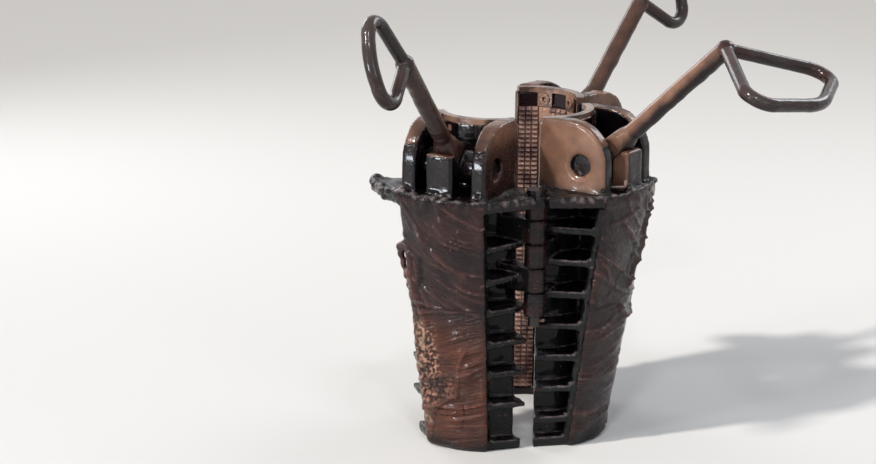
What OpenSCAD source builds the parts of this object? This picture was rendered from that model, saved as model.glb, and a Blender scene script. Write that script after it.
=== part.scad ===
// Three-segment rotary slips standing on their toes, partly folded open.
// +X points out of the centre segment, and the origin is under the middle of its toe.
$fn = 48;

/* [Segments] */
// Height of a segment from its toe to the top of its ears
slip_h = 505; // [480:1:540]
// Height of the rim that sits on the bowl
rim_z = 400; // [380:1:420]
// Radius of the rim when the set is closed
rim_r = 174; // [160:1:180]
// Radius lost for each unit of height below the rim
back_taper = 0.1667; // [0.14:0.0001:0.18]
// Width of a segment's back at the rim
back_w = 134; // [120:1:144]
// Width of a segment's back at the toe
toe_w = 98; // [84:1:120]
// Thickness of the tapered back
back_t = 16; // [10:1:22]
// Outer radius of the inner shell round the bore
shell_r = 80; // [76:1:86]
// Radius of the shell's bore between the dies
bore_r = 68; // [67:0.5:69]
// Gap between two segments when the set is closed
parting_gap = 4; // [3:0.5:5]
// Thickness of the flange at the rim
flange_t = 14; // [10:1:20]
// Thickness of the plate at the toe
toe_t = 14; // [10:1:20]
// Distance from the bore's axis to the flange's corners beside a hinge
rim_corner_r = 152; // [140:1:160]
// Thickness of a horizontal rib
rib_t = 9; // [6:1:14]
// Distance from the bore's axis to a rib's corners beside the parting gaps
rib_reach = 112; // [90:1:118]
// Distance from one rib to the next
rib_pitch = 50; // [44:1:56]
// How much lower the ribs of the two outer segments sit
rib_step = 21; // [0:1:30]
// Thickness of the upright web behind the ribs
web_t = 26; // [16:1:36]

/* [Ears and stop] */
// Thickness of an ear
ear_t = 22; // [16:1:28]
// Distance from the bore's axis to the outer edge of an ear
ear_reach = 153; // [146:1:158]
// Radius of an ear's outer top corner
ear_corner_r = 62; // [40:1:70]
// Width of the stop that a handle rests on
stop_w = 41; // [30:1:50]
// Thickness of the stop
stop_t = 27; // [18:1:30]
// Height of the flat cut on the stop's outer top corner
stop_cut = 12; // [0:1:16]

/* [Handles] */
// Distance from the bore's axis to a handle's pin
pin_reach = 110; // [108:0.5:114]
// Height of a handle's pin above the toe
pin_z = 441; // [436:0.5:446]
// Diameter of a handle's pin
pin_d = 34; // [28:0.5:36]
// Angle of the resting centre handle above the level
wide_rest = 43.5; // [38:0.5:48]
// Angle of the two resting outer handles above the level
upright_rest = 47.5; // [38:0.5:50]
// Length of the centre handle from its pin to its bend
wide_l = 270; // [250:1:290]
// Length of an outer handle from its pin to its bend
upright_l = 240; // [220:1:270]
// Thickness of a handle's forged arm beside its hub
arm_t = 32; // [30:1:40]
// Width of that arm
arm_w = 36; // [30:1:44]
// Diameter of a handle's bar
bar_d = 25; // [22:1:28]
// Diameter of the rod in a handle's loop
loop_d = 19; // [14:1:22]
// Diameter of the hub round the pin
hub_d = 50; // [46:1:54]
// Clearance beside a hub
hub_side_gap = 3; // [1:0.5:6]

/* [Loops] */
// Distance from the bend to the corners of the wide loop
wide_reach = 119; // [110:1:126]
// Distance from the wide loop's middle line to its corners
wide_half = 134; // [110:1:140]
// Distance from the bend to the meeting point of the wide loop's far sides
wide_tip = 166; // [160:1:180]
// Fall of the wide loop below the level
wide_tilt = 22; // [10:1:30]
// Distance from the bend to the corners of an upright loop
upright_reach = 80; // [74:1:90]
// Distance from an upright loop's middle line to its corners
upright_half = 83; // [70:1:90]
// Distance from the bend to the meeting point of an upright loop's far sides
upright_tip = 104; // [98:1:114]
// Rise of an upright loop above the level
upright_rise = 11; // [0:1:20]
// Turn of an upright loop about its own middle line
upright_turn = 108; // [80:1:115]
// Radius of the corners of a loop
loop_corner_r = 28; // [20:1:30]
// Radius of the far bend of a loop
loop_end_r = 90; // [60:1:130]

/* [Hinges] */
// Distance from the bore's axis to a hinge
hinge_r = 125; // [120:1:130]
// Diameter of a hinge pin
hinge_pin_d = 19; // [16:0.5:22]
// Outer diameter of a knuckle
knuckle_d = 33; // [30:1:38]
// Height of a hinge, from its lowest knuckle to the rim
hinge_h = 184; // [150:1:220]
// Knuckles in one hinge
knuckles = 5; // [3:2:7]
// Angle that a hinge can open before the flange's corners meet
hinge_open = 80; // [74:1:90]
// Angle that the front hinge is folded open
front_fold = 37; // [0:1:60]
// Angle that the rear hinge is folded open
rear_fold = 37; // [0:1:60]

/* [Dies] */
// Radius of the toothed faces when the set is closed
die_face_r = 63.5; // [62:0.5:64]
// Radius of the back of a die slot
slot_back_r = 75; // [74:0.5:76]
// Width of a die at its face
die_w = 28.5; // [24:0.5:29]
// Width of a die at its back
die_back_w = 32.5; // [28:0.5:33]
// Angle between two columns of dies
die_angle = 43; // [42:0.5:43.5]
// Height of the top of a die column
die_top_z = 474; // [450:1:480]
// Dies in one column
dies_per_column = 7; // [5:1:8]
// Teeth on one die
teeth_per_die = 9; // [6:1:10]
// Depth of a tooth
tooth_h = 4; // [2:0.5:5]
// Width of the two grooves down a die's face
groove_w = 2.5; // [1:0.5:4]

/* [Retainers] */
// Thickness of a retainer's top plate
retainer_t = 8; // [6:1:12]
// Width of the tabs that hold the dies down
tab_w = 23; // [21.5:0.5:25]
// Thickness of a tab
tab_t = 7; // [5:0.5:7]
// Height of the screws in the tabs
screw_z = 487; // [485:0.5:488]
// Diameter of a screw's head
screw_head_d = 16; // [12:1:18]
// Height of a screw's head
screw_head_h = 6; // [4:0.5:7]
// Diameter of a screw
screw_d = 10; // [8:1:12]

/* [Hidden] */
run_gap = 0.1;
seat_gap = 0.3;
toe_r = rim_r - rim_z * back_taper;
half_w = back_w / 2;
segment_arc = 120;
ear_gap = back_w - 2 * ear_t;
hub_w = ear_gap - 2 * hub_side_gap;
arm_l = 66;
hinge_z = rim_z - hinge_h;
knuckle_gap = 1;
knuckle_h = (hinge_h - (knuckles - 1) * knuckle_gap) / knuckles;
knuckle_root = 34;
pin_head = 10;
pin_head_h = 8;
pin_tail = 16;
cotter_d = 5;
cotter_reach = 6;
toe_middle = (shell_r + toe_r) / 2;
shell_top = slip_h - retainer_t;
retainer_arc = 112;
tab_over = 3;
sunk_head = 3;
screw_end = 79.5;
socket_d = 9;
socket_depth = 4;
die_h = (die_top_z - toe_t - seat_gap) / dies_per_column - seat_gap;
flank = (die_back_w - die_w) / 2 / (slot_back_r - die_face_r);
tooth_top = 0.35;
pin_recess = 9;
rib_inset = 5;
rib_top = 60;
rib_foot = 26;
stop_inset = 9;
flange_lip = 4;
shell_lap = 6;
bend_lap = 1;
bend_swell = 0.6;
far = 400;
steel = [0.27, 0.22, 0.19];
mud = [0.36, 0.26, 0.2];
bare = [0.5, 0.48, 0.46];

// A segment's own frame has the closed bore's axis on Z and +X out of its back
module at_centre() { translate([-toe_middle, 0, 0]) children(); }

// side is -1 for the left segment and 1 for the rear one
module at_side(side, fold) {
    at_centre() rotate(side * 60) translate([hinge_r, 0, 0]) rotate(-side * fold)
        translate([-hinge_r, 0, 0]) rotate(side * 60) children();
}
module at_left() { at_side(-1, front_fold) children(); }
module at_rear() { at_side(1, rear_fold) children(); }

// The tapered back's cone, moved in by inset and run over at both ends
module cone(inset, over = 0) {
    translate([0, 0, -over]) cylinder(h = rim_z + 2 * over, r1 = toe_r - inset - over * back_taper,
        r2 = rim_r - inset + over * back_taper, $fn = 96);
}

// The narrowing back: a strip of the cone, as wide as back_w at the rim and toe_w at the toe
module back_strip(inset) {
    intersection() {
        cone(inset);
        rotate([90, 0, 90]) linear_extrude(far)
            polygon([[-toe_w / 2, 0], [toe_w / 2, 0], [half_w, rim_z], [-half_w, rim_z]]);
    }
}

// What lies between the two parting planes
module sector_cut() {
    for (side = [-1, 1])
        rotate(side * segment_arc / 2)
            translate([-far / 2, side > 0 ? -parting_gap / 2 : -far + parting_gap / 2, -1])
                cube([far, far, slip_h + 2]);
}

// What lies behind the bore's axis
module behind_cut() {
    translate([-far / 2 + 10, 0, slip_h / 2]) cube([far, 2 * far, slip_h + 4], center = true);
}

module shell() {
    difference() {
        cylinder(h = shell_top, r = shell_r, $fn = 96);
        translate([0, 0, -1]) cylinder(h = slip_h + 2, r = bore_r, $fn = 96);
        sector_cut();
        behind_cut();
    }
}

// Half the width of a die's dovetail at radius r
function die_half(r) = die_w / 2 + (r - die_face_r) * flank;

module die_slot() {
    front = bore_r - 8;
    wide = die_half(slot_back_r) + seat_gap;
    narrow = die_half(front) + seat_gap;
    translate([0, 0, toe_t]) linear_extrude(slip_h)
        polygon([[front, -narrow], [front, narrow], [slot_back_r, wide], [slot_back_r, -wide]]);
}

// A level plate that runs from the edges of the back to the parting gaps and in to the shell
module rib(z, t) {
    out = toe_r + z * back_taper - rib_inset;
    side = (toe_w + (back_w - toe_w) * z / rim_z) / 2 - 1;
    edge = sqrt(out * out - side * side);
    near = [shell_r * cos(segment_arc / 2), shell_r * sin(segment_arc / 2)];
    tip = near * min(rib_reach, out) / shell_r;
    translate([0, 0, z]) difference() {
        linear_extrude(t)
            polygon([[near[0], -near[1]], [tip[0], -tip[1]], [edge, -side], [out, 0],
                [edge, side], tip, near]);
        translate([0, 0, -1]) cylinder(h = t + 2, r = shell_r - shell_lap, $fn = 96);
    }
}

// How far the flange's cut edge runs out from a hinge
function rim_cut() = sqrt(pow(hinge_r * cos(hinge_open / 2), 2) + pow(rim_corner_r, 2) - pow(hinge_r, 2))
    - hinge_r * cos(hinge_open / 2);

// The flange is a full sector; beside a hinge its corner is cut back so that the hinge can open
module flange(hinged) {
    edge = half_w + flange_lip;
    corner = sqrt(rim_r * rim_r - edge * edge) - 2;
    hinge = [hinge_r * cos(60), hinge_r * sin(60)];
    tip = hinge + rim_cut() * [cos(60 - hinge_open / 2), sin(60 - hinge_open / 2)];
    translate([0, 0, rim_z - flange_t]) difference() {
        cylinder(h = flange_t, r = rim_r, $fn = 96);
        translate([0, 0, -1]) cylinder(h = flange_t + 2, r = shell_r - shell_lap, $fn = 96);
        for (side = hinged)
            translate([0, 0, -1]) linear_extrude(flange_t + 2)
                polygon([[corner, side * edge], [tip[0], side * tip[1]], [hinge[0], side * hinge[1]],
                    [far * cos(60), side * far * sin(60)], [far, side * edge]]);
    }
}

module ear() {
    foot = 44;
    straight = slip_h - rim_z;
    intersection() {
        translate([foot, -ear_t, rim_z - 1]) cube([far, ear_t, straight + 1]);
        rotate([90, 0, 0]) linear_extrude(ear_t) {
            translate([foot, rim_z - 1]) square([ear_reach - ear_corner_r - foot, straight + 1]);
            translate([foot, rim_z - 1]) square([ear_reach - foot, straight + 1 - ear_corner_r]);
            translate([ear_reach - ear_corner_r, slip_h - ear_corner_r]) circle(ear_corner_r, $fn = 72);
        }
    }
}

// Height of the sloping top of a stop, just under the resting handle
function stop_top(reach, rest) =
    pin_z + (reach - pin_reach) * tan(rest) - (arm_t / 2 + seat_gap) / cos(rest);

module stop(rest) {
    out = rim_r - stop_inset;
    top = stop_top(out, rest) - stop_cut;
    translate([0, stop_w / 2, 0]) rotate([90, 0, 0]) linear_extrude(stop_w)
        polygon([[out - stop_t, rim_z - 1], [out, rim_z - 1], [out, top], [out - stop_cut / tan(rest), top],
            [out - stop_t, stop_top(out - stop_t, rest)]]);
}

// turn is 0 for the knuckles of the centre segment and 1 for those between them
module knuckle_set(side, turn) {
    rotate(side * 60) for (i = [turn : 2 : knuckles - 1])
        translate([0, 0, hinge_z + i * (knuckle_h + knuckle_gap)]) linear_extrude(knuckle_h) {
            translate([hinge_r, 0]) circle(d = knuckle_d);
            polygon([[shell_r - shell_lap, -side * parting_gap / 2], [hinge_r, -side * parting_gap / 2],
                [hinge_r, -side * (knuckle_d / 2 - 1)], [shell_r - shell_lap - 4, -side * knuckle_root]]);
        }
}

// Room in a segment for the other segment's knuckles
module knuckle_room(side) {
    rotate(side * 60) translate([hinge_r, 0, hinge_z - knuckle_gap])
        cylinder(h = hinge_h + 2 * knuckle_gap, d = knuckle_d + 3);
}

module hinge_bore(side) {
    rotate(side * 60) translate([hinge_r, 0, hinge_z - 5])
        cylinder(h = hinge_h + 10, d = hinge_pin_d + run_gap);
}

// What the ears and stop of a segment leave free: the bore, and the retainer's seat on the shell
module inner_room() {
    translate([0, 0, rim_z - 2]) cylinder(h = slip_h, r = shell_r - shell_lap, $fn = 96);
    translate([0, 0, shell_top]) cylinder(h = slip_h, r = shell_r + seat_gap, $fn = 96);
}

// A tab and its pocket lie at a land between two columns, grown by gap
module tab(gap) {
    translate([bore_r - tab_over, -tab_w / 2 - gap, die_top_z + seat_gap - gap])
        cube([tab_over + tab_t + gap, tab_w + 2 * gap, shell_top - die_top_z + gap]);
}

// hinged lists the sides with a hinge, turn says which knuckles they carry, and drop
// lowers the ribs
module segment(hinged, turn, drop, rest) {
    color(mud) difference() {
        union() {
            difference() {
                union() {
                    difference() {
                        back_strip(0);
                        cone(back_t, 1);
                    }
                    for (z = [rim_z - rib_top - drop : -rib_pitch : rib_foot]) rib(z, rib_t);
                    rib(0, toe_t);
                    intersection() {
                        back_strip(rib_inset);
                        translate([shell_r - shell_lap, -web_t / 2, 1]) cube([far, web_t, rim_z - 2]);
                    }
                    flange(hinged);
                }
                for (side = hinged) knuckle_room(side);
                sector_cut();
                behind_cut();
            }
            shell();
            difference() {
                union() {
                    for (side = [-1, 1]) translate([0, side > 0 ? half_w : -half_w + ear_t, 0]) ear();
                    stop(rest);
                }
                inner_room();
            }
            for (side = hinged) knuckle_set(side, turn);
        }
        for (a = [-die_angle, 0, die_angle]) rotate(a) die_slot();
        for (a = [-die_angle / 2, die_angle / 2]) rotate(a) {
            tab(seat_gap);
            translate([bore_r, 0, screw_z]) rotate([0, 90, 0])
                cylinder(h = screw_end + run_gap - bore_r, d = screw_d + run_gap);
        }
        translate([pin_reach, half_w + 1, pin_z]) rotate([90, 0, 0])
            cylinder(h = back_w + 2, d = pin_d + run_gap);
        for (side = hinged) hinge_bore(side);
    }
}

// One die: a dovetail bar with teeth across it and two grooves down it
module die() {
    pitch = die_h / teeth_per_die;
    back = slot_back_r - seat_gap;
    valley = die_face_r + tooth_h;
    difference() {
        intersection() {
            linear_extrude(die_h)
                polygon([[die_face_r, -die_half(die_face_r)], [die_face_r, die_half(die_face_r)],
                    [back, die_half(back)], [back, -die_half(back)]]);
            translate([0, die_back_w, 0]) rotate([90, 0, 0]) linear_extrude(2 * die_back_w)
                polygon(concat([[back + 1, 0], [back + 1, die_h]],
                    [for (i = [teeth_per_die - 1 : -1 : 0], k = [1, 0])
                        [k > 0 ? valley : die_face_r, pitch * (i + (k > 0 ? 1 : tooth_top))]],
                    [[valley, 0]]));
        }
        for (side = [-1, 1]) translate([die_face_r - 1, side * die_w / 6 - groove_w / 2, -1])
            cube([tooth_h + 1, groove_w, die_h + 2]);
    }
}

module die_column(turn) {
    color(bare) rotate(turn) for (i = [0 : dies_per_column - 1])
        translate([0, 0, toe_t + seat_gap + i * (die_h + seat_gap)]) die();
}

// A plate over the slots with two tabs down the lands, held by a screw through each
module retainer() {
    color(mud) difference() {
        union() {
            translate([0, 0, shell_top]) rotate(-retainer_arc / 2)
                rotate_extrude(angle = retainer_arc, $fn = 96)
                    translate([bore_r - tab_over, 0]) square([shell_r - bore_r + tab_over, retainer_t]);
            for (a = [-die_angle / 2, die_angle / 2]) rotate(a) tab(0);
        }
        cylinder(h = slip_h + 1, r = bore_r, $fn = 96);
        for (a = [-die_angle / 2, die_angle / 2]) rotate(a) translate([0, 0, screw_z]) rotate([0, 90, 0]) {
            cylinder(h = far, d = screw_d + run_gap);
            cylinder(h = bore_r + sunk_head, d = screw_head_d + 1);
        }
    }
}

module retainer_screws() {
    color(bare) for (a = [-die_angle / 2, die_angle / 2])
        rotate(a) translate([bore_r + sunk_head, 0, screw_z]) rotate([0, 90, 0]) difference() {
            union() {
                translate([0, 0, -screw_head_h]) cylinder(h = screw_head_h, d = screw_head_d);
                translate([0, 0, -1]) cylinder(h = screw_end - bore_r - sunk_head + 1, d = screw_d);
            }
            translate([0, 0, -screw_head_h - 1]) cylinder(h = socket_depth + 1, d = socket_d, $fn = 6);
        }
}

module hinge_pin(side) {
    color(bare) at_centre() rotate(side * segment_arc / 2) translate([hinge_r, 0, 0]) difference() {
        union() {
            translate([0, 0, hinge_z - pin_tail]) cylinder(h = hinge_h + pin_tail, d = hinge_pin_d);
            translate([0, 0, rim_z]) cylinder(h = pin_head_h, d = hinge_pin_d + pin_head);
        }
        translate([0, -hinge_pin_d, hinge_z - pin_tail / 2]) rotate([-90, 0, 0])
            cylinder(h = 2 * hinge_pin_d, d = cotter_d + run_gap);
    }
}

module cotter(side) {
    color(bare) at_centre() rotate(side * segment_arc / 2)
        translate([hinge_r, -hinge_pin_d / 2 - cotter_reach, hinge_z - pin_tail / 2]) rotate([-90, 0, 0])
            cylinder(h = hinge_pin_d + 2 * cotter_reach, d = cotter_d);
}

module handle_pin() {
    color(bare) translate([pin_reach, half_w - pin_recess, pin_z]) rotate([90, 0, 0])
        cylinder(h = back_w - 2 * pin_recess, d = pin_d);
}

function unit(v) = v / norm(v);

// A rod of diameter d from a to b, both in the XY plane
module rod(a, b, d) {
    way = b - a;
    translate([a[0], a[1], 0]) rotate([0, 90, atan2(way[1], way[0])]) cylinder(h = norm(way), d = d);
}

// A closed rod through the corners, each rounded to the radius at its place. The bends are
// a little thicker than the straights, which run a little way into them.
module rod_loop(corners, radii, d) {
    n = len(corners);
    turn = [for (i = [0 : n - 1])
        let (p = unit(corners[(i + n - 1) % n] - corners[i]), q = unit(corners[(i + 1) % n] - corners[i]))
            acos(p * q)];
    cut = [for (i = [0 : n - 1]) radii[i] / tan(turn[i] / 2)];
    for (i = [0 : n - 1]) {
        here = corners[i];
        before = unit(corners[(i + n - 1) % n] - here);
        after = unit(corners[(i + 1) % n] - here);
        next = corners[(i + 1) % n];
        rod(here + after * (cut[i] - bend_lap), next - after * (cut[(i + 1) % n] - bend_lap), d);
        if (radii[i] > 0) {
            centre = here + unit(before + after) * radii[i] / sin(turn[i] / 2);
            start = here + before * cut[i] - centre;
            stop = here + after * cut[i] - centre;
            sweep = 180 - turn[i];
            left = start[0] * stop[1] - start[1] * stop[0] > 0;
            first = left ? start : stop;
            translate([centre[0], centre[1], 0]) rotate(atan2(first[1], first[0]))
                rotate_extrude(angle = sweep) translate([radii[i], 0]) circle(d = d + bend_swell);
        }
    }
}

// A forged arm runs from the hub into the bar. tilt is the loop's fall below the level,
// and roll turns it about its own middle line.
module handle(rest, length, tilt, roll, corners, radii) {
    color(steel) translate([pin_reach, 0, pin_z]) difference() {
        union() {
            rotate([90, 0, 0]) cylinder(h = hub_w, d = hub_d, center = true);
            rotate([0, -rest, 0]) {
                intersection() {
                    translate([0, -arm_w / 2, -arm_t / 2]) cube([arm_l, arm_w, arm_t]);
                    rotate([0, 90, 0]) cylinder(h = arm_l, d1 = arm_t + arm_w, d2 = bar_d);
                }
                rotate([0, 90, 0]) cylinder(h = length, d = bar_d);
            }
            translate([length * cos(rest), 0, length * sin(rest)]) {
                sphere(d = bar_d + 2);
                rotate([0, tilt, 0]) rotate([roll, 0, 0]) rod_loop(corners, radii, loop_d);
            }
        }
        rotate([90, 0, 0]) cylinder(h = hub_w + 2, d = pin_d + run_gap, center = true);
    }
}

// The centre handle's loop is a wide D across the handle
module handle_wide() {
    handle(wide_rest, wide_l, wide_tilt, 0,
        [[0, 0], [wide_reach, -wide_half], [wide_tip, 0], [wide_reach, wide_half]],
        [0, loop_corner_r, loop_end_r, loop_corner_r]);
}

// The outer handles' loops stand upright
module handle_upright(side) {
    handle(upright_rest, upright_l, -upright_rise, -side * upright_turn,
        [[0, 0], [upright_reach, -upright_half], [upright_tip, 0], [upright_reach, upright_half]],
        [0, loop_corner_r, loop_end_r, loop_corner_r]);
}

at_centre() segment([-1, 1], 0, 0, wide_rest);  // segment_centre
at_left() segment([1], 1, rib_step, upright_rest);  // segment_left
at_rear() segment([-1], 1, rib_step, upright_rest);  // segment_rear
at_centre() die_column(-die_angle);  // dies_centre_left
at_centre() die_column(0);  // dies_centre_middle
at_centre() die_column(die_angle);  // dies_centre_right
at_left() die_column(-die_angle);  // dies_left_left
at_left() die_column(0);  // dies_left_middle
at_left() die_column(die_angle);  // dies_left_right
at_rear() die_column(-die_angle);  // dies_rear_left
at_rear() die_column(0);  // dies_rear_middle
at_rear() die_column(die_angle);  // dies_rear_right
at_centre() retainer();  // retainer_centre
at_left() retainer();  // retainer_left
at_rear() retainer();  // retainer_rear
at_centre() retainer_screws();  // screws_centre
at_left() retainer_screws();  // screws_left
at_rear() retainer_screws();  // screws_rear
hinge_pin(-1);  // hinge_pin_front
hinge_pin(1);  // hinge_pin_rear
cotter(-1);  // cotter_front
cotter(1);  // cotter_rear
at_centre() handle_wide();  // handle_centre
at_left() handle_upright(-1);  // handle_left
at_rear() handle_upright(1);  // handle_rear
at_centre() handle_pin();  // handle_pin_centre
at_left() handle_pin();  // handle_pin_left
at_rear() handle_pin();  // handle_pin_rear
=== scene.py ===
from math import atan2, cos, hypot, pi, radians, sin
import random
import bmesh
import bpy
from mathutils import Matrix, Quaternion, Vector, noise


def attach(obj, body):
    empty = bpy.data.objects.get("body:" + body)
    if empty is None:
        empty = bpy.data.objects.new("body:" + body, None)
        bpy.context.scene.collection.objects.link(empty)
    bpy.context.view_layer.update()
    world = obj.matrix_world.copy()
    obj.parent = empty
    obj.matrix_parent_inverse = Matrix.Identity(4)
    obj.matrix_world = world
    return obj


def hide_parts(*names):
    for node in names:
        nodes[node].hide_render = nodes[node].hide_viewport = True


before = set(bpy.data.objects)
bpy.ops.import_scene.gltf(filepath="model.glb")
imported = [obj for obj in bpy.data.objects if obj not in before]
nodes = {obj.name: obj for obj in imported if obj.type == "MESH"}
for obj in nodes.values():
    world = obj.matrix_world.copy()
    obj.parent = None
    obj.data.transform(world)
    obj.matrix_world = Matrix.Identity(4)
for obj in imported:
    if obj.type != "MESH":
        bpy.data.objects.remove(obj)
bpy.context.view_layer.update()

# where each segment's bore axis stands, and which way its back looks (degrees)
segmentPlace = {
    "centre": {"axis": (-0.09366, 0.0), "heading": 0.0},
    "left": {"axis": (-0.146223, -0.059412), "heading": -83.0},
    "rear": {"axis": (-0.146223, 0.059412), "heading": 83.0},
}

slipSizes = {
    "rimHeight": 0.400,
    "flangeThickness": 0.014,
    "topHeight": 0.505,
    "rimRadius": 0.174,
    "taper": 0.1667,
    "rimWidth": 0.134,
    "toeWidth": 0.098,
    "earOuter": 0.067,
    "earInner": 0.045,
    "shellRadius": 0.080,
    "boreRadius": 0.068,
    "hingeRadius": 0.125,
    "pinReach": 0.110,
    "pinHeight": 0.441,
    "centreRest": 43.5,
    "outerRest": 47.5,
}


def segmentMatrix(segment):
    place = segmentPlace[segment]
    turn = Matrix.Rotation(radians(place["heading"]), 4, "Z")
    return Matrix.Translation((*place["axis"], 0)) @ turn


def smoothStep(low, high, value):
    t = min(1.0, max(0.0, (value - low) / (high - low)))
    return t * t * (3 - 2 * t)


def clamp(value, top=1.0):
    return max(0.0, min(top, value))


# 1 between lowFull and highFull, fading to 0 at low and at high
def band(value, low, lowFull, highFull, high):
    return smoothStep(low, lowFull, value) * smoothStep(high, highFull, value)


# a soft random value, at most about 1 either way, that varies over 1 / scale metres
def noiseAt(p, scale, shift=(0.0, 0.0, 0.0)):
    return noise.noise((p.x * scale + shift[0], p.y * scale + shift[1], p.z * scale + shift[2]))


def mixColor(a, b, t):
    return tuple(x + (y - x) * t for x, y in zip(a[:3], b[:3]))


def linear(r, g, b):  # a colour as seen on screen (0 to 255), for the shader
    return tuple(((c / 255 + 0.055) / 1.055) ** 2.4 if c > 10 else c / 255 / 12.92
                 for c in (r, g, b))


# camera, lights and floor

cameraSettings = {
    "place": (1.78610, -3.05850, 1.26259),
    "look": 34.0,  # degrees that the view is turned left of +Y
    "pitch": 14.9,
    "roll": 0.64,
    "lens": 100.32,
}


def buildCamera(s):
    data = bpy.data.cameras.new("photoCamera")
    data.lens = s["lens"]
    data.sensor_width = 36.0
    data.clip_start = 0.05
    data.clip_end = 60.0
    camera = bpy.data.objects.new("photoCamera", data)
    bpy.context.scene.collection.objects.link(camera)
    turn, tip = radians(s["look"]), radians(s["pitch"])
    way = Vector((-sin(turn) * cos(tip), cos(turn) * cos(tip), -sin(tip)))
    camera.rotation_mode = "QUATERNION"
    roll = Quaternion((0, 0, 1), radians(s["roll"]))
    camera.rotation_quaternion = way.to_track_quat("-Z", "Y") @ roll
    camera.location = s["place"]
    bpy.context.scene.camera = camera


buildCamera(cameraSettings)

lightSettings = {
    # name: place, size, watts, colour
    "fillLight": ((2.4, -1.3, 1.5), 1.0, 9.0, (0.84, 0.90, 1.0)),
    "backLight": ((0.6, 2.3, 2.1), 1.2, 24.0, (0.92, 0.95, 1.0)),
    "farLight": ((-2.4, 0.7, 1.4), 1.2, 16.0, (0.95, 0.96, 1.0)),
    "glintLight": ((-0.9, -2.6, 0.66), 0.45, 26.0, (0.88, 0.93, 1.0)),
    "highLight": ((0.9, -1.6, 2.6), 0.30, 16.0, (0.92, 0.95, 1.0)),
}
keySettings = {
    "place": (-1.15, -2.35, 2.25),  # the sun shines from here to the origin
    "strength": 2.45,
    "spread": 4.0,
    "color": (1.0, 0.96, 0.90),
}
aimPlace = (-0.06, 0, 0.3)  # the middle of the tool, which every lamp faces
worldSettings = {"light": 0.24, "shade": (0.86, 0.89, 0.95), "backdrop": (0.78, 0.79, 0.81)}
floorSettings = {"half": 30.0, "color": linear(226, 224, 221), "roughness": 0.85}


def buildStage():
    for name, (place, size, watts, color) in lightSettings.items():
        data = bpy.data.lights.new(name, "AREA")
        data.shape = "DISK"
        data.size = size
        data.energy = watts
        data.color = color
        lamp = bpy.data.objects.new(name, data)
        lamp.location = place
        lamp.visible_camera = False
        lamp.rotation_mode = "QUATERNION"
        lamp.rotation_quaternion = (Vector(aimPlace) - Vector(place)).to_track_quat("-Z", "Y")
        bpy.context.scene.collection.objects.link(lamp)
    data = bpy.data.lights.new("keyLight", "SUN")
    data.energy = keySettings["strength"]
    data.angle = radians(keySettings["spread"])
    data.color = keySettings["color"]
    lamp = bpy.data.objects.new("keyLight", data)
    lamp.rotation_mode = "QUATERNION"
    lamp.rotation_quaternion = (-Vector(keySettings["place"])).to_track_quat("-Z", "Y")
    bpy.context.scene.collection.objects.link(lamp)
    world = bpy.data.worlds.new("studio")
    world.use_nodes = True
    bpy.context.scene.world = world
    tree = world.node_tree
    back = tree.nodes["Background"]
    back.inputs["Color"].default_value = (*worldSettings["shade"], 1)
    back.inputs["Strength"].default_value = worldSettings["light"]
    white = tree.nodes.new("ShaderNodeBackground")
    white.inputs["Color"].default_value = (*worldSettings["backdrop"], 1)
    ray = tree.nodes.new("ShaderNodeLightPath")
    either = tree.nodes.new("ShaderNodeMath")
    either.operation = "MAXIMUM"
    tree.links.new(ray.outputs["Is Camera Ray"], either.inputs[0])
    tree.links.new(ray.outputs["Is Glossy Ray"], either.inputs[1])
    mix = tree.nodes.new("ShaderNodeMixShader")
    tree.links.new(either.outputs[0], mix.inputs[0])
    tree.links.new(back.outputs[0], mix.inputs[1])
    tree.links.new(white.outputs[0], mix.inputs[2])
    tree.links.new(mix.outputs[0], tree.nodes["World Output"].inputs["Surface"])
    bm = bmesh.new()
    bmesh.ops.create_grid(bm, x_segments=2, y_segments=2, size=floorSettings["half"])
    mesh = bpy.data.meshes.new("paleFloor")
    bm.to_mesh(mesh)
    bm.free()
    floor = bpy.data.objects.new("paleFloor", mesh)
    bpy.context.scene.collection.objects.link(floor)
    finish = bpy.data.materials.new("paleFloor")
    finish.use_nodes = True
    shader = finish.node_tree.nodes["Principled BSDF"]
    shader.inputs["Base Color"].default_value = (*floorSettings["color"], 1)
    shader.inputs["Roughness"].default_value = floorSettings["roughness"]
    mesh.materials.append(finish)


buildStage()
bpy.context.scene.view_settings.view_transform = "Standard"
print("stage and camera ready")


# materials

# mud colours: how they look on screen under the plain light
mudColors = {
    "film": linear(132, 97, 78),  # thin smooth film in the light
    "brown": linear(56, 34, 29),
    "plum": linear(31, 17, 20),  # the smeared backs
    "litRidge": linear(96, 62, 56),  # crests of the streaks: the mud's lighter tone and a painted highlight
    "beadGlint": linear(196, 176, 172),  # painted highlight: the pale glint on thin wet beads of mud, on edges and crests
    "sunlitOrange": linear(92, 50, 33),  # orange-brown mud low on the left back, painted lighter as a pool of sunlight
    "pale": linear(172, 132, 110),  # drier crumbs and lit ridges; also painted light on the gravel and the top of the bore
    # pale dust, used as painted sunlight and a painted glint on the left back
    "sunlitDust": linear(186, 162, 134),
    "blackMudAndShade": linear(6, 5, 8),  # dark wet mud, and painted shade in the pockets, hollows, cracks and undersides
    "green": linear(9, 22, 16),  # old paint deep in the pockets
    "rust": linear(40, 20, 18),  # the hinges
    "steel": linear(62, 53, 50),
}


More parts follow.
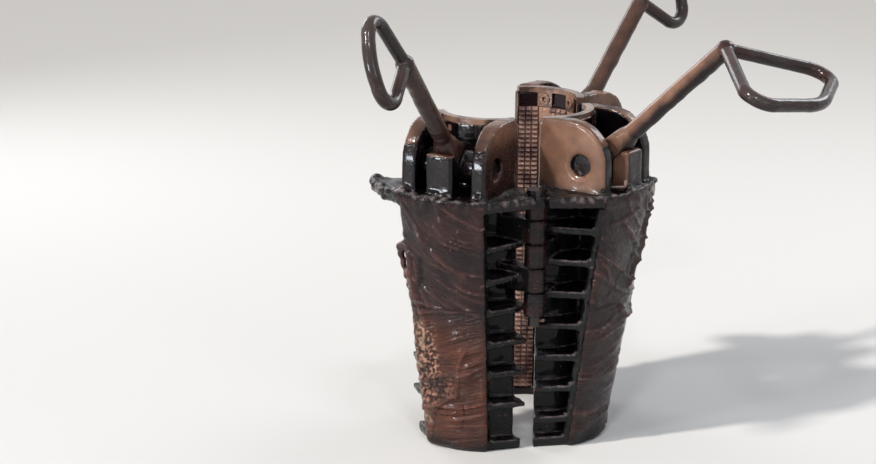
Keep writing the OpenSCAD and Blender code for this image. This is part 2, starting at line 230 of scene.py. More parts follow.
class Graph:
    def __init__(self, name):
        self.material = bpy.data.materials.new(name)
        self.material.use_nodes = True
        self.tree = self.material.node_tree
        self.shader = self.tree.nodes["Principled BSDF"]
        self.place = self.add("ShaderNodeTexCoord").outputs["Object"]

    def add(self, kind, **values):
        node = self.tree.nodes.new(kind)
        for key, value in values.items():
            setattr(node, key, value)
        return node

    def link(self, a, b):
        self.tree.links.new(a, b)

    def noise(self, scale, detail=3.0, roughness=0.55, place=None):
        node = self.add("ShaderNodeTexNoise")
        node.inputs["Scale"].default_value = scale
        node.inputs["Detail"].default_value = detail
        node.inputs["Roughness"].default_value = roughness
        self.link(place or self.place, node.inputs["Vector"])
        return node.outputs["Fac"]

    def spread(self, value, low, high, toLow=0.0, toHigh=1.0):
        node = self.add("ShaderNodeMapRange", interpolation_type="SMOOTHSTEP")
        self.link(value, node.inputs["Value"])
        limits = {"From Min": low, "From Max": high, "To Min": toLow, "To Max": toHigh}
        for key, number in limits.items():
            node.inputs[key].default_value = number
        return node.outputs["Result"]

    def math(self, kind, a, b):
        node = self.add("ShaderNodeMath", operation=kind)
        for socket, value in zip(node.inputs, (a, b)):
            if isinstance(value, (int, float)):
                socket.default_value = value
            else:
                self.link(value, socket)
        return node.outputs[0]

    def mix(self, factor, a, b, kind="MIX"):
        node = self.add("ShaderNodeMix", data_type="RGBA", blend_type=kind)
        if isinstance(factor, (int, float)):
            node.inputs[0].default_value = factor
        else:
            self.link(factor, node.inputs[0])
        for socket, value in ((node.inputs[6], a), (node.inputs[7], b)):
            if isinstance(value, tuple):
                socket.default_value = (*value, 1)
            else:
                self.link(value, socket)
        return node.outputs[2]

    def bump(self, height, distance, strength=1.0, below=None):
        node = self.add("ShaderNodeBump")
        node.inputs["Strength"].default_value = strength
        node.inputs["Distance"].default_value = distance
        self.link(height, node.inputs["Height"])
        if below is not None:
            self.link(below, node.inputs["Normal"])
        return node.outputs[0]

    def attribute(self, name, output="Color"):
        node = self.add("ShaderNodeAttribute", attribute_name=name)
        return node.outputs[output]


mudFinish = {
    "cloud": 22.0,  # noise scales, from broad to fine
    "lumps": 90.0,
    "grain": 420.0,
    "streaks": 1.0,
    "shadeTint": (0.35, 0.32, 0.34),  # what the clouds and streaks multiply the colour by
    "streakTint": (1.9, 1.6, 1.5),
    "roughness": (0.27, 0.46),
    "wetGloss": 0.18,  # taken off the roughness where the mud is wet
    "specular": 0.16,
    "coat": 0.30,
    "coatRoughness": 0.10,
}


# mud over a mesh that carries its own colour, wetness and smear direction
def makeMud(name, s):
    g = Graph(name)
    painted = g.attribute("mudColor")
    wet = g.attribute("mudWet", "Fac")
    rough = g.attribute("mudColor", "Alpha")  # how coarse the mud is
    smear = g.noise(s["streaks"], 3.0, 0.6, place=g.attribute("smearPlace", "Vector"))
    cloud = g.noise(s["cloud"], 4.0, 0.6)
    crumbs = g.noise(s["lumps"], 4.0, 0.65)
    grain = g.noise(s["grain"], 3.0, 0.6)
    dark = g.mix(g.spread(cloud, 0.34, 0.66, 0.0, 0.55), painted, s["shadeTint"], "MULTIPLY")
    streak = g.math("MULTIPLY", g.spread(smear, 0.5, 0.74, 0.0, 0.9), rough)
    light = g.mix(streak, dark, s["streakTint"], "MULTIPLY")
    drier = g.math("MULTIPLY", g.spread(crumbs, 0.62, 0.8, 0.0, 0.35), rough)
    speck = g.mix(drier, light, mudColors["pale"])
    g.link(speck, g.shader.inputs["Base Color"])
    dry = g.spread(crumbs, 0.3, 0.72, *s["roughness"])
    shine = g.math("SUBTRACT", dry, g.math("MULTIPLY", wet, s["wetGloss"]))
    g.link(shine, g.shader.inputs["Roughness"])
    g.shader.inputs["Coat Weight"].default_value = s["coat"]
    g.shader.inputs["Coat Roughness"].default_value = s["coatRoughness"]
    g.shader.inputs["Specular IOR Level"].default_value = s["specular"]
    fine = g.bump(grain, 0.0006, 0.2)
    mid = g.bump(g.math("MULTIPLY", crumbs, rough), 0.0035, 0.6, fine)
    streaked = g.bump(g.math("MULTIPLY", smear, rough), 0.0065, 0.9, mid)
    g.link(streaked, g.shader.inputs["Normal"])
    return g.material


steelFinishes = {
    "teethSteel": {
        "base": linear(152, 118, 104), "dirt": linear(70, 45, 41),
        "metal": 0.35, "rough": 0.26, "bump": 0.0007,
    },
    "pinSteel": {
        "base": linear(42, 33, 33), "dirt": linear(16, 11, 12),
        "metal": 0.45, "rough": 0.28, "bump": 0.0006,
    },
    "screwSteel": {
        "base": linear(150, 116, 98), "dirt": linear(74, 50, 43),
        "metal": 0.25, "rough": 0.24, "bump": 0.0009,
    },
    "wireSteel": {
        "base": linear(118, 82, 62), "dirt": linear(52, 34, 30),
        "metal": 0.3, "rough": 0.3, "bump": 0.0004,
    },
}


# wet steel with mud left in its hollows
def makeSteel(name, s):
    g = Graph(name)
    cloud = g.noise(38.0, 4.0, 0.6)
    grain = g.noise(520.0, 3.0, 0.6)
    patch = g.spread(cloud, 0.38, 0.62)
    g.link(g.mix(patch, s["base"], s["dirt"]), g.shader.inputs["Base Color"])
    gloss = g.spread(cloud, 0.3, 0.7, s["rough"] - 0.1, s["rough"] + 0.2)
    g.link(gloss, g.shader.inputs["Roughness"])
    g.shader.inputs["Metallic"].default_value = s["metal"]
    g.shader.inputs["Coat Weight"].default_value = 0.4
    g.shader.inputs["Coat Roughness"].default_value = 0.14
    low = g.bump(grain, s["bump"], 0.5)
    g.link(g.bump(cloud, 0.0025, 0.6, low), g.shader.inputs["Normal"])
    return g.material


mudMaterial = makeMud("drillingMud", mudFinish)
steels = {name: makeSteel(name, s) for name, s in steelFinishes.items()}
print("materials ready")


# mud over the castings

# lumps of mud for the copy: a place, a radius and a stretch for each, in the segment's frame
def addLumps(bm, matrix, lumps):
    for place, radius, stretch in lumps:
        size = Matrix.Diagonal((*(radius * v for v in stretch), 1))
        at = matrix @ Matrix.Translation(place) @ size
        bmesh.ops.create_icosphere(bm, subdivisions=2, radius=1.0, matrix=at)


def addBlocks(bm, matrix, blocks):
    for turn, place, size in blocks:
        at = matrix @ Matrix.Rotation(radians(turn), 4, "Z") @ Matrix.Translation(place)
        bmesh.ops.create_cube(bm, size=1.0, matrix=at @ Matrix.Diagonal((*size, 1)))


def relax(bm, factor):
    bmesh.ops.smooth_vert(bm, verts=bm.verts, factor=factor,
                          use_axis_x=True, use_axis_y=True, use_axis_z=True)


# a copy of a CAD node with its lumps as one closed mesh, rebuilt on a fine grid, which
# rounds the corners over
def softCopy(name, source, voxel, smooth, matrix=None, lumps=(), blocks=()):
    bm = bmesh.new()
    bm.from_mesh(nodes[source].data)
    bmesh.ops.remove_doubles(bm, verts=bm.verts, dist=1e-5)
    addLumps(bm, matrix, lumps)
    addBlocks(bm, matrix, blocks)
    mesh = bpy.data.meshes.new(name)
    bm.to_mesh(mesh)
    bm.free()
    piece = bpy.data.objects.new(name, mesh)
    bpy.context.scene.collection.objects.link(piece)
    grid = piece.modifiers.new("grid", "REMESH")
    grid.mode = "VOXEL"
    grid.voxel_size = voxel
    bpy.context.view_layer.update()
    shaped = piece.evaluated_get(bpy.context.evaluated_depsgraph_get())
    done = bpy.data.meshes.new_from_object(shaped)
    piece.modifiers.clear()
    piece.data = done
    bpy.data.meshes.remove(mesh)
    done.name = name
    done.materials.clear()
    bm = bmesh.new()
    bm.from_mesh(done)
    for _ in range(smooth):
        relax(bm, 0.5)
    bm.normal_update()
    bm.to_mesh(done)
    bm.free()
    for face in done.polygons:
        face.use_smooth = True
    return piece


# moves each vertex out by what the rule says, and stores the rule's colour, wetness and
# smear place
def coatMesh(piece, rule, matrix):
    mesh = piece.data
    inverse = matrix.inverted()
    turn = inverse.to_3x3()
    kinds = {"mudColor": "FLOAT_COLOR", "mudWet": "FLOAT", "smearPlace": "FLOAT_VECTOR"}
    for name, kind in kinds.items():
        mesh.attributes.new(name, kind, "POINT")
    normals = [v.normal.copy() for v in mesh.vertices]
    colorList, wetList, smearList = [], [], []
    for vertex, normal in zip(mesh.vertices, normals):
        lift, color, wet, smear = rule(inverse @ vertex.co, turn @ normal)
        vertex.co += normal * lift
        colorList += [*color[:3], color[3] if len(color) > 3 else 1.0]
        wetList.append(wet)
        smearList += smear
    bm = bmesh.new()
    bm.from_mesh(mesh)
    relax(bm, 0.4)
    bm.to_mesh(mesh)
    bm.free()
    mesh.attributes["mudColor"].data.foreach_set("color", colorList)
    mesh.attributes["mudWet"].data.foreach_set("value", wetList)
    mesh.attributes["smearPlace"].data.foreach_set("vector", smearList)
    mesh.materials.append(mudMaterial)


# combed streaks follow arcs round two points beside the back (across, up) in metres
padMud = {
    "base": 0.0010,
    "upperArcs": (0.090, 0.460),
    "lowerArcs": (-0.055, 0.420),
    "turnover": 0.226,  # height where one sweep of the hand ends and the next begins
    "wide": (0.0150, 0.0052),  # spacing and height of the streaks
    "fine": (0.0068, 0.0014),
    "lump": 0.0016,
    "sideRoll": 0.0010,
    "footShade": (0.024, 0.006),
}


def combed(y, z, centre, seed):
    s = padMud
    warp = noise.noise((y * 15 + seed, z * 15, seed))
    across = hypot(y - centre[0], z - centre[1]) + 0.0050 * warp
    along = atan2(z - centre[1], y - centre[0]) * 0.22
    drift = noise.noise((across * 45, along * 9, seed + 2))
    wide = 1 - abs(sin(pi * (across / s["wide"][0] + 1.5 * drift)))
    fine = 1 - abs(sin(pi * (across / s["fine"][0] + 2.0 * drift)))
    strong = smoothStep(-0.35, 0.45, noise.noise((across * 80, along * 14, seed * 1.7)))
    lift = s["wide"][1] * wide * strong + s["fine"][1] * fine * (0.4 + 0.6 * strong)
    return lift, (along / 0.026, across / 0.0034, seed), wide * strong


# what was read off the two backs in view, in millimetres: a kind, a height, a width and a
# line of places across and up
backMarks = {
    "left": [
        ("litRidge", 4.2, 4.6, [(-13, 321), (12, 301), (37, 287)]),
        ("litRidge", 3.0, 3.8, [(11, 392), (35, 376), (61, 363)]),
        ("litRidge", 6.0, 6.0, [(-57, 312), (-50, 260), (-39, 231), (-28, 198)]),
        ("litRidge", 4.0, 4.0, [(-44, 300), (-38, 262), (-24, 232)]),
        ("hollow", -2.2, 6.5, [(-33, 304), (-35, 262)]),
        ("litRidge", 2.8, 3.6, [(-15, 233), (8, 227), (26, 231), (54, 226)]),
        ("litRidge", 5.4, 4.6, [(-64, 99), (-27, 116), (6, 130), (34, 132)]),
        ("litRidge", 5.0, 4.2, [(-50, 59), (-25, 68), (-3, 84), (12, 93)]),
        ("litRidge", 6.0, 8.5, [(21, 128), (28, 121)]),
        ("litRidge", 4.0, 3.8, [(17, 124), (13, 88)]),
        ("litRidge", 4.2, 3.8, [(18, 138), (22, 150), (32, 170)]),
        ("crack", -2.6, 1.9, [(-24, 62), (-29, 40), (-37, 8)]),
        ("crack", -2.2, 1.7, [(24, 90), (22, 60), (17, 33)]),
    ],
    "centre": [
        ("litRidge", 5.0, 6.0, [(55, 372), (52, 335), (46, 302), (31, 276), (20, 249)]),
        ("litRidge", 7.0, 8.0, [(3, 216), (27, 200), (48, 198)]),
        ("litRidge", 3.0, 3.2, [(-38, 185), (-20, 196), (-5, 207)]),
        ("litRidge", 2.6, 3.0, [(-31, 240), (-18, 264), (-10, 278)]),
        ("litRidge", 3.4, 3.6, [(-53, 359), (-33, 361), (6, 374)]),
        ("litRidge", 3.0, 3.2, [(-58, 300), (-46, 288), (-40, 270)]),
        ("hollow", -1.8, 6.0, [(10, 330), (14, 300), (4, 270)]),
    ],
    "rear": [
        ("litRidge", 4.4, 4.6, [(-50, 350), (-20, 320), (10, 312), (40, 330)]),
        ("litRidge", 5.0, 5.0, [(30, 240), (8, 210), (-26, 200), (-44, 176)]),
        ("litRidge", 3.6, 3.8, [(40, 120), (12, 108), (-10, 86), (-34, 80)]),
        ("crack", -2.2, 1.8, [(-20, 70), (-16, 30), (-24, 8)]),
    ],
}


def lineDistance(y, z, line):
    best = 1e3
    for (y0, z0), (y1, z1) in zip(line, line[1:]):
        dy, dz = y1 - y0, z1 - z0
        t = min(1.0, max(0.0, ((y - y0) * dy + (z - z0) * dz) / (dy * dy + dz * dz)))
        best = min(best, hypot(y - y0 - t * dy, z - z0 - t * dz))
    return best


# adds the marks near a place on a back to its lift and colour, with painted shade in hollows and
# cracks
def applyMarks(segment, y, z, patch, lift, color, wet):
    for kind, height, reach, line in backMarks[segment]:
        d = lineDistance(y * 1000, z * 1000, line) / (reach * (1 + 0.45 * patch))
        if d > 1:
            continue
        swell = (1 - d * d) ** 2
        lift += height / 1000 * swell
        if kind == "litRidge":
            # raised marks turn lighter along the crest, partly a painted highlight
            color = mixColor(color, mudColors["litRidge"], 0.55 * swell)
            wet += 0.5 * swell
        else:
            # painted shade in hollows and cracks
            color = mixColor(color, mudColors["blackMudAndShade"], 0.8 * swell)
    return lift, color, wet


# mud that hangs on the left back's edge and on the centre back's far side, in metres
backLumps = {
    "left": [
        ((0.143, -0.0640, 0.3200), 0.0105, (0.8, 1.1, 0.7)),
        ((0.140, -0.0730, 0.3150), 0.0095, (0.8, 1.0, 0.8)),
        ((0.137, -0.0755, 0.3050), 0.0070, (0.8, 0.8, 1.4)),
        ((0.135, -0.0725, 0.2910), 0.0056, (0.9, 0.8, 1.9)),
        ((0.133, -0.0690, 0.2740), 0.0048, (0.9, 0.8, 2.2)),
        ((0.130, -0.0660, 0.2570), 0.0042, (1.0, 0.9, 2.0)),
        ((0.127, -0.0625, 0.2400), 0.0040, (1.0, 0.9, 2.0)),
    ],
    "centre": [
        ((0.124, 0.0560, 0.2020), 0.0095, (0.9, 0.9, 1.0)),
        ((0.122, 0.0590, 0.1930), 0.0070, (0.9, 0.8, 1.5)),
        ((0.126, 0.0480, 0.2090), 0.0080, (0.9, 1.0, 0.8)),
    ],
    "rear": [
        ((0.130, 0.0600, 0.2600), 0.0080, (0.9, 0.9, 1.3)),
        ((0.128, 0.0620, 0.2430), 0.0050, (0.9, 0.8, 2.0)),
    ],
}

# blocks fill the tops of the die slots and are coloured dark plum: a turn, a place and a size for
# each
plugPlace, plugSize = (0.0755, 0, 0.4860), (0.0100, 0.0320, 0.0240)
slotPlugs = [(turn, plugPlace, plugSize) for turn in (-43.0, 0.0, 43.0)]

rimMud = {"step": 2.1, "small": (0.0028, 0.0046), "large": (0.0052, 0.0088), "edge": 0.1715}


# a rope of lumps round the flange, thickest at the outer corner of the left segment
def rimLumps(segment, seed):
    s, rng = rimMud, random.Random(int(seed * 10))
    free = {"centre": (-26, 26), "left": (-59, 26), "rear": (-26, 59)}[segment]
    lumps = []
    angle = free[0]
    while angle < free[1]:
        heavy = segment == "left" and (angle < 4 or rng.random() < 0.3)
        radius = rng.uniform(*(s["large"] if heavy else s["small"]))
        a = radians(angle)
        reach = s["edge"] + rng.uniform(-0.004, 0.002)
        up = slipSizes["rimHeight"] + rng.uniform(-0.004, 0.002)
        place = (reach * cos(a), reach * sin(a), up)
        lumps.append((place, radius, (1.0, 1.0, rng.uniform(0.6, 0.9))))
        if heavy and rng.random() < 0.5:
            hung = (place[0], place[1], place[2] - 0.008)
            lumps.append((hung, radius * 0.7, (0.9, 0.9, 1.5)))
        angle += s["step"] * rng.uniform(0.7, 1.5)
    return lumps


def hingeDistance(p):
    reach = slipSizes["hingeRadius"]
    return min(hypot(p.x - reach * cos(a), p.y - reach * sin(a))
               for a in (pi / 3, -pi / 3))


# 1 where a face turns over from level to upright, as on the upper edge of a rib
def cornerShare(n):
    return smoothStep(0.36, 0.58, min(n.z, hypot(n.x, n.y)))


# the left back's own patches, in metres: across is y and up is z
leftBack = {
    "sunlitTop": (0.245, 0.190),  # where the painted sunlight on the orange mud starts: none above the first, full below the second
    "gravelRight": (-0.010, -0.030),
    "gravelUp": (0.04, 0.10, 0.198, 0.212),
    "boxAcross": (-0.046, -0.038, 0.004, 0.012),
    "boxUp": (0.086, 0.094, 0.116, 0.124),
    "stoneScale": 230,
    "stoneHeight": 0.0022,
    "sunlitLine": -0.047,  # a leaning strip of pale dust in the gravel, painted as sunlight
    "sunlitUp": (0.10, 0.12, 0.18, 0.20),
    # a round spot of pale dust, painted as a glint
    "glintSpot": (-0.040, 0.045),
}


# gravel with painted shade between the stones and painted light on their tops, a strip and a spot
# of pale dust painted as sunlight and a glint, and the orange mud low on the left back, painted
# lighter as a pool of sunlight
def leftBackCoat(p, patch, broad, lift, color):
    palette, s = mudColors, leftBack
    # painted sunlight: the lower left back turns orange and lighter
    low = smoothStep(*s["sunlitTop"], p.z + 0.05 * broad)
    paintedLight = low * (0.75 + 0.5 * noise.noise((p.y * 30, p.z * 22, 5.5)))
    color = mixColor(color, palette["sunlitOrange"], min(1.0, paintedLight))
    side = smoothStep(*s["gravelRight"], p.y + 0.010 * patch) * band(p.z, *s["gravelUp"])
    box = band(p.y, *s["boxAcross"]) * band(p.z, *s["boxUp"])
    gravel = max(side, box)
    if gravel > 0:
        stone = noiseAt(p, s["stoneScale"])
        lift += s["stoneHeight"] * gravel * max(0.0, stone + 0.15)
        # painted shade between the stones, going very dark
        stoneShade = gravel * smoothStep(0.05, -0.25, stone) * 0.85
        color = mixColor(color, palette["blackMudAndShade"], stoneShade)
        # painted light on the tops of the stones
        lit = (side if side > box else 0.3 * box) * smoothStep(0.02, 0.35, stone)
        color = mixColor(color, palette["pale"], lit)
    # painted sunlight and a painted glint: a leaning strip and a round spot of pale dust
    across = abs(p.y - s["sunlitLine"] + 0.1 * (0.15 - p.z))
    strip = smoothStep(0.012, 0.002, across) * band(p.z, *s["sunlitUp"])
    spotY, spotZ = s["glintSpot"]
    dry = max(strip, smoothStep(0.014, 0.004, hypot(p.y - spotY, p.z - spotZ)))
    dusty = noise.noise((p.x * 120, p.y * 120 + 5, p.z * 90))
    return lift, mixColor(color, palette["sunlitDust"], 0.65 * dry * smoothStep(0.0, 0.3, dusty))


# the mud on a back: combed streaks, then what was read off the photograph
def backCoat(segment, p, patch, broad, width, seed):
    palette, s = mudColors, padMud
    upper, smearUp, wideUp = combed(p.y, p.z, s["upperArcs"], seed)
    lower, smearLow, wideLow = combed(p.y, p.z, s["lowerArcs"], seed + 5)
    share = smoothStep(-0.012, 0.012, p.z - s["turnover"] - 0.02 * broad)
    edge = smoothStep(width - 0.009, width - 0.001, abs(p.y))
    streak = (lower + (upper - lower) * share) * (1 - 0.8 * edge)
    lift = s["base"] + streak + s["lump"] * (patch + 0.5 * broad)
    crest = wideLow + (wideUp - wideLow) * share
    smear = smearUp if share > 0.5 else smearLow
    color = mixColor(palette["plum"], palette["brown"], clamp(0.35 + 0.9 * patch))
    # the crests turn lighter: partly the mud's own tone, partly a painted highlight
    color = mixColor(color, palette["litRidge"], 0.75 * crest ** 2)
    sparkle = smoothStep(0.0, 0.35, noise.noise((p.y * 90, p.z * 90, seed + 4)))
    # painted glints along the crests
    color = mixColor(color, palette["beadGlint"], 0.35 * smoothStep(0.66, 0.95, crest) * sparkle)
    wet = 1.1 + 0.4 * broad
    if segment == "left":
        lift, color = leftBackCoat(p, patch, broad, lift, color)
    marked, color, wet = applyMarks(segment, p.y, p.z, patch, lift, color, wet)
    lift += (marked - lift) * (1 - 0.7 * edge)
    lift += s["sideRoll"] * edge * (0.8 + noise.noise((p.z * 70, seed, p.y)))
    foot = smoothStep(*s["footShade"], p.z + 0.014 * patch)
    color = mixColor(color, palette["blackMudAndShade"], 0.9 * foot)
    return lift, color, wet, smear


topMud = {
    "film": 0.0005,
    "puddle": 0.0010,  # on level faces
    "footRoll": 0.0030,  # where the ears rise from the flange
    "footHeight": 0.020,
    "pinSeat": 0.021,  # round the handle pin the ears stay bare
    "insideShare": 0.35,  # of the film, on the shell's thin top
    "rimDark": (0.130, 0.148),  # out along the centre's near ear
    "smear": 0.014,
}


# ears, stop and shell above the rim
def topCoat(segment, p, n, r, patch, broad, seed):
    s, palette, top = slipSizes, mudColors, topMud
    smear = (p.x / top["smear"], p.y / top["smear"], p.z / top["smear"])
    hole = hypot(p.x - s["pinReach"], p.z - s["pinHeight"])
    onEar = abs(n.y) > 0.6 and abs(p.y) > s["earInner"] - 0.004
    grow = 1.0
    if onEar and hole < top["pinSeat"]:
        grow = 0.0
    elif r < s["shellRadius"] + 0.004:
        grow = top["insideShare"]
    film = top["film"] * (1 + 1.4 * noise.noise((p.x * 40 + seed, p.y * 40, p.z * 26)))
    nearEar = segment == "centre" and p.y < 0 and n.y < -0.3
    if nearEar:
        color = mixColor(palette["film"], palette["pale"], 0.08 + 0.25 * max(0, patch))
        rim = smoothStep(*top["rimDark"], p.x)
        rim += smoothStep(s["topHeight"] - 0.012, s["topHeight"], p.z)
        color = mixColor(color, palette["brown"], 0.6 * min(1.0, rim * (0.5 + patch)))
        wet = 0.2
        smear = (p.x / 0.02, p.z / 0.02, seed)
    elif n.z > 0.5:
        color = mixColor(palette["film"], palette["brown"], clamp(0.35 + 1.1 * patch))
        film += top["puddle"] * (1 + noise.noise((p.x * 90, p.y * 90, seed)))
        wet = 0.85
    elif onEar and abs(p.y) > s["earOuter"] - 0.006:
        # painted shade: the ear's outer faces darken from film to brown towards the bottom
        below = s["topHeight"] - p.z - 0.02 * patch
        color = mixColor(palette["film"], palette["brown"], smoothStep(0.010, 0.050, below))
        dark = 0.7 * smoothStep(-0.2, 0.5, broad + 0.4 * patch)
        color = mixColor(color, palette["blackMudAndShade"], dark)
        wet = 0.6
    else:
        shade = smoothStep(-0.1, 0.8, patch + 0.3 * n.x)
        color = mixColor(palette["blackMudAndShade"], palette["plum"], shade)
        wet = 0.95
    foot = smoothStep(top["footHeight"], 0.0, p.z - s["rimHeight"] + 0.007 * patch)
    roll = foot * (0.7 + noise.noise((p.x * 60, p.y * 60, seed)))
    coarse = 0.12 if nearEar else 0.25
    color = (*mixColor(color, palette["blackMudAndShade"], 0.8 * foot), coarse)
    return (film + top["footRoll"] * roll) * grow, color, wet, smear


boreMud = {"film": 0.0002, "depth": 0.0025, "topDepth": 0.0045, "topFrom": 0.472}


# bore side and the parting faces, creamy in the light at the top
def boreCoat(p, r, patch, broad, smear):
    s, palette = slipSizes, mudColors
    color = mixColor(palette["film"], palette["plum"], smoothStep(0.46, 0.30, p.z + 0.06 * broad))
    color = mixColor(color, palette["blackMudAndShade"], 0.6 * smoothStep(0.0, 0.5, -patch))
    if r > s["boreRadius"] + 0.0012 and p.z > boreMud["topFrom"]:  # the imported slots
        return boreMud["film"], (*palette["plum"], 0.15), 0.9, smear
    # painted light: the top of the bore turns creamy pale
    paintedLight = smoothStep(0.440, 0.465, p.z) * (0.8 + max(-0.4, patch))
    color = mixColor(color, palette["pale"], clamp(paintedLight, 0.95))
    return boreMud["film"], (*color, 0.3), 1.0, smear


flangeMud = {"film": 0.0006, "puddle": 0.0016, "roll": 0.0014, "beadGlint": (0.006, 0.001)}


# rim flange: a puddle on top, a rolled edge of mud outside, with a painted highlight along its
# beads and edges
def flangeCoat(p, n, outward, patch, clear, smear, seed):
    s, palette = flangeMud, mudColors
    bump = 1 + noiseAt(p, 75, (seed, 0, 0)) + 0.5 * patch
    beadGlint = smoothStep(*s["beadGlint"], abs(p.z - slipSizes["rimHeight"] + 0.002)) * max(0, outward)
    grown = (s["puddle"] * max(0, n.z) + s["roll"] * (max(0, outward) + beadGlint)) * bump
    color = mixColor(palette["blackMudAndShade"], palette["plum"], smoothStep(-0.3, 0.7, patch))
    broken = smoothStep(-0.15, 0.30, noiseAt(p, 130, (seed, 0, 0)))
    # painted highlight along the rolled edge and on edges that turn over
    color = mixColor(color, palette["beadGlint"], 0.28 * broken * max(beadGlint, cornerShare(n)))
    return (s["film"] + grown) * clear, color, 1.0, smear


pocketMud = {"film": 0.0004, "lumps": 0.0013, "ribRoll": 0.0010, "knuckle": 0.020}


# ribs, webs and the outside of the shell: dark wet mud with painted shade in the pockets and a
# painted highlight on the rib edges
def pocketCoat(p, n, r, patch, clear, smear, seed):
    s, palette = pocketMud, mudColors
    lift = (s["film"] + s["lumps"] * (0.5 + 0.7 * noiseAt(p, 70, (0, seed, 0)))) * clear
    paint = noise.noise((p.x * 16 + 3 * seed, p.y * 16, p.z * 13)) + 0.12
    green = smoothStep(0.22, 0.50, paint) * (1 - abs(n.z))
    # painted shade: the pockets go very dark, with old green paint showing
    color = mixColor(palette["blackMudAndShade"], palette["green"], green)
    color = mixColor(color, palette["plum"], 0.30 * smoothStep(0.1, 0.6, patch))
    crest = cornerShare(n) * clear
    broken = smoothStep(-0.10, 0.35, noiseAt(p, 120, (seed, 0, 0)))
    # painted highlight along the upper edges of the ribs
    color = mixColor(color, palette["beadGlint"], 0.30 * crest * (0.4 + 0.6 * broken))
    if slipSizes["hingeRadius"] - 0.017 < r and hingeDistance(p) < s["knuckle"]:
        stain = noise.noise((p.x * 55, p.y * 55, p.z * 70))
        color = mixColor(palette["rust"], palette["blackMudAndShade"], smoothStep(-0.2, 0.4, stain))
    return lift + s["ribRoll"] * crest, color, 1.0, smear


# mud that hangs free of a back, or None where there is none
def drapeCoat(segment, p, n, patch, smear):
    palette = mudColors
    for place, radius, _ in backLumps[segment]:
        if (p - Vector(place)).length < radius * 2.0 and p.z < slipSizes["rimHeight"] - 0.02:
            # painted light: the hanging mud is lighter on top, with painted glints
            lit = smoothStep(-0.4, 0.4, patch + 0.4 * n.z)
            color = mixColor(palette["brown"], palette["litRidge"], lit)
            glint = 0.4 * smoothStep(0.1, 0.7, n.z + 0.6 * patch)
            color = mixColor(color, palette["beadGlint"], glint)
            return 0.0006 * (1 + patch), (*color, 0.5), 1.0, smear
    return None


# which mud lies where, in metres past the surface named
zones = {
    "backDepth": 0.004,  # behind the cone, and past the back's sides
    "shellTop": 0.011,  # in from the rim, from here the ears begin
    "earFoot": (0.0015, 0.013),  # above the flange, and above it at the rim itself
    "hingeClear": (0.021, 0.030),  # no mud builds up round a hinge
    "floorClear": 0.007,  # nor where the segment stands on the floor
}


# the rule for a segment: film on the ears and bore, streaks on the back, very dark pockets with
# painted shade
def segmentRule(segment, seed):
    s = slipSizes

    def look(p, n):
        r = hypot(p.x, p.y)
        cone = s["rimRadius"] - (s["rimHeight"] - p.z) * s["taper"]
        width = (s["toeWidth"] + (s["rimWidth"] - s["toeWidth"]) * p.z / s["rimHeight"]) / 2
        outward = (n.x * p.x + n.y * p.y) / max(r, 1e-6)
        patch = noiseAt(p, 24, (seed, 0, 0))
        broad = noiseAt(p, 9, (seed, 0, 7))
        smear = (atan2(p.y, p.x) * r / 0.004, p.z / 0.004, seed)
        depth = zones["backDepth"]
        onBack = r > cone - depth and abs(p.y) < width + depth and outward > 0.35
        if p.z < s["rimHeight"] - 0.001 and onBack:
            return backCoat(segment, p, patch, broad, width, seed)
        drape = drapeCoat(segment, p, n, patch, smear)
        if drape:
            return drape
        inside = boreMud["topDepth" if p.z > boreMud["topFrom"] else "depth"]
        if r < s["boreRadius"] + inside and outward < 0.3:
            return boreCoat(p, r, patch, broad, smear)
        above = p.z - s["rimHeight"]
        earFoot, rimFoot = zones["earFoot"]
        if above > earFoot and (r < s["rimRadius"] - zones["shellTop"] or above > rimFoot):
            return topCoat(segment, p, n, r, patch, broad, seed)
        clear = smoothStep(*zones["hingeClear"], hingeDistance(p))
        if above > -s["flangeThickness"] - 0.002:
            return flangeCoat(p, n, outward, patch, clear, smear, seed)
        return pocketCoat(p, n, r, patch, clear, smear, seed)

    def rule(p, n):
        lift, color, wet, smear = look(p, n)
        return lift * smoothStep(0.0, zones["floorClear"], p.z), color, wet, smear

    return rule


seeds = {"centre": 3.7, "left": 8.2, "rear": 12.9}
castingGrid = {"voxel": 0.0027, "smooth": 1}
for segment, seed in seeds.items():
    place = segmentMatrix(segment)
    lumps = rimLumps(segment, seed) + backLumps[segment]
    cast = softCopy(f"muddyCasting_{segment}", f"segment_{segment}",
                    castingGrid["voxel"], castingGrid["smooth"], place, lumps, slotPlugs)
    coatMesh(cast, segmentRule(segment, seed), place)
    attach(cast, f"{segment}_segment")
    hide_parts(f"segment_{segment}")
    print("casting", segment, len(cast.data.polygons), "faces")


# handles

handleGrid = {
    "voxel": 0.0019,
    "smooth": 1,
    "film": 0.0006,
    "drip": 0.0026,
    "hub": 0.030,  # round the pin, left bare because it turns between the ears
    "length": {"centre": 0.270, "left": 0.240, "rear": 0.240},  # from the pin to the loop
    "loopFade": (-0.012, 0.006),
}


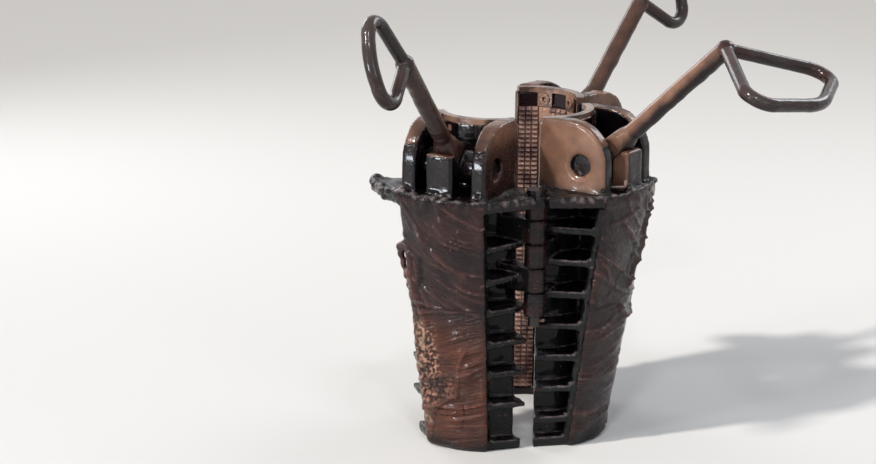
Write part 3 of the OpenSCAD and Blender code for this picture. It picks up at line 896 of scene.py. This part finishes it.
def handleRule(segment, seed):
    s = slipSizes
    palette = mudColors
    rest = radians(s["centreRest"] if segment == "centre" else s["outerRest"])
    loopStart, loopFull = (handleGrid["length"][segment] + d for d in handleGrid["loopFade"])

    def rule(p, n):
        along = (p.x - s["pinReach"]) * cos(rest) + (p.z - s["pinHeight"]) * sin(rest)
        patch = noiseAt(p, 46, (seed, 0, 0))
        broad = noiseAt(p, 15, (0, seed, 0))
        smear = [along / 0.02, atan2(p.y, n.z) * 4, seed]
        reach = hypot(p.x - s["pinReach"], p.z - s["pinHeight"])
        if reach < handleGrid["hub"]:
            color = mixColor(palette["blackMudAndShade"], palette["plum"], 0.4 + patch)
            return 0.0, (*color, 0.3), 0.9, smear
        onLoop = smoothStep(loopStart, loopFull, along)
        drop = max(0.0, noise.noise((along * 60 + seed, 1.3, 2.2)))
        drip = handleGrid["drip"] * max(0.0, -n.z) * drop * (1 - onLoop)
        lift = handleGrid["film"] * (1 + patch) * (1 - 0.6 * onLoop) + drip
        shade = smoothStep(0.35, -0.45, n.z + 0.35 * patch)
        bar = mixColor(palette["film"], palette["plum"], shade)
        browned = smoothStep(-0.35, 0.45, broad + 0.3 * patch)
        loop = mixColor(palette["steel"], palette["brown"], browned)
        # painted shade: the loops go very dark on their undersides
        loop = mixColor(loop, palette["blackMudAndShade"], 0.6 * smoothStep(0.2, -0.6, n.z + 0.3 * broad))
        if segment != "centre":
            bar = mixColor(bar, palette["brown"], 0.70)
        color = (*mixColor(bar, loop, onLoop), 0.15 + 0.25 * onLoop)
        return lift, color, 0.45 + 0.6 * onLoop, smear

    return rule


for segment, seed in seeds.items():
    handle = softCopy(f"muddyHandle_{segment}", f"handle_{segment}",
                      handleGrid["voxel"], handleGrid["smooth"])
    coatMesh(handle, handleRule(segment, seed), segmentMatrix(segment))
    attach(handle, f"{segment}_handle")
    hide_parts(f"handle_{segment}")
    print("handle", segment, len(handle.data.polygons), "faces")


# keeper pin between the near ear and the stop of the centre segment

keeperSettings = {
    "radius": 0.0027,
    "path": [(0.1455, -0.0460, 0.4105), (0.1640, -0.0310, 0.4105), (0.1655, -0.0298, 0.4115),
             (0.1660, -0.0292, 0.4135), (0.1660, -0.0290, 0.4215)],
    "sides": 12,
}


# a round rod drawn out along a path, with rounded ends
def sweepRod(name, s, matrix):
    path = [matrix @ Vector(p) for p in s["path"]]
    way = (path[1] - path[0]).normalized()
    bm = bmesh.new()
    start = Matrix.Translation(path[0]) @ way.to_track_quat("Z", "Y").to_matrix().to_4x4()
    bmesh.ops.create_circle(bm, cap_ends=True, segments=s["sides"],
                            radius=s["radius"], matrix=start)
    tip = bm.faces[:]
    rims = bm.edges[:]
    for i in range(1, len(path)):
        grown = bmesh.ops.extrude_face_region(bm, geom=tip)["geom"]
        if i > 1:
            bmesh.ops.delete(bm, geom=[f for f in tip if f.is_valid], context="FACES_ONLY")
        tip = [part for part in grown if isinstance(part, bmesh.types.BMFace)]
        verts = [part for part in grown if isinstance(part, bmesh.types.BMVert)]
        bmesh.ops.translate(bm, verts=verts, vec=path[i] - path[i - 1])
        turned = (path[min(i + 1, len(path) - 1)] - path[i - 1]).normalized()
        turn = way.rotation_difference(turned).to_matrix()
        bmesh.ops.rotate(bm, verts=verts, cent=path[i], matrix=turn)
        way = turned
    rims += list(tip[0].edges)
    bmesh.ops.bevel(bm, geom=rims, offset=s["radius"] * 0.4, offset_type="OFFSET",
                    segments=2, profile=0.5, material=-1, affect="EDGES")
    bmesh.ops.recalc_face_normals(bm, faces=bm.faces)
    mesh = bpy.data.meshes.new(name)
    bm.to_mesh(mesh)
    bm.free()
    for face in mesh.polygons:
        face.use_smooth = True
    piece = bpy.data.objects.new(name, mesh)
    bpy.context.scene.collection.objects.link(piece)
    return piece


keeper = sweepRod("keeperPin", keeperSettings, segmentMatrix("centre"))
keeper.data.materials.append(steels["screwSteel"])
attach(keeper, "centre_segment")
print("keeper pin made")


# finishes of the CAD nodes that stay

nodeFinishes = {
    "dies": "teethSteel",
    "screws": "screwSteel",
    "handle_pin": "pinSteel",
    "hinge_pin": "pinSteel",
    "cotter": "wireSteel",
    "retainer": "screwSteel",
}
for name, node in nodes.items():
    for start, finish in nodeFinishes.items():
        if name.startswith(start):
            node.data.materials.clear()
            node.data.materials.append(steels[finish])
print("finishes set")
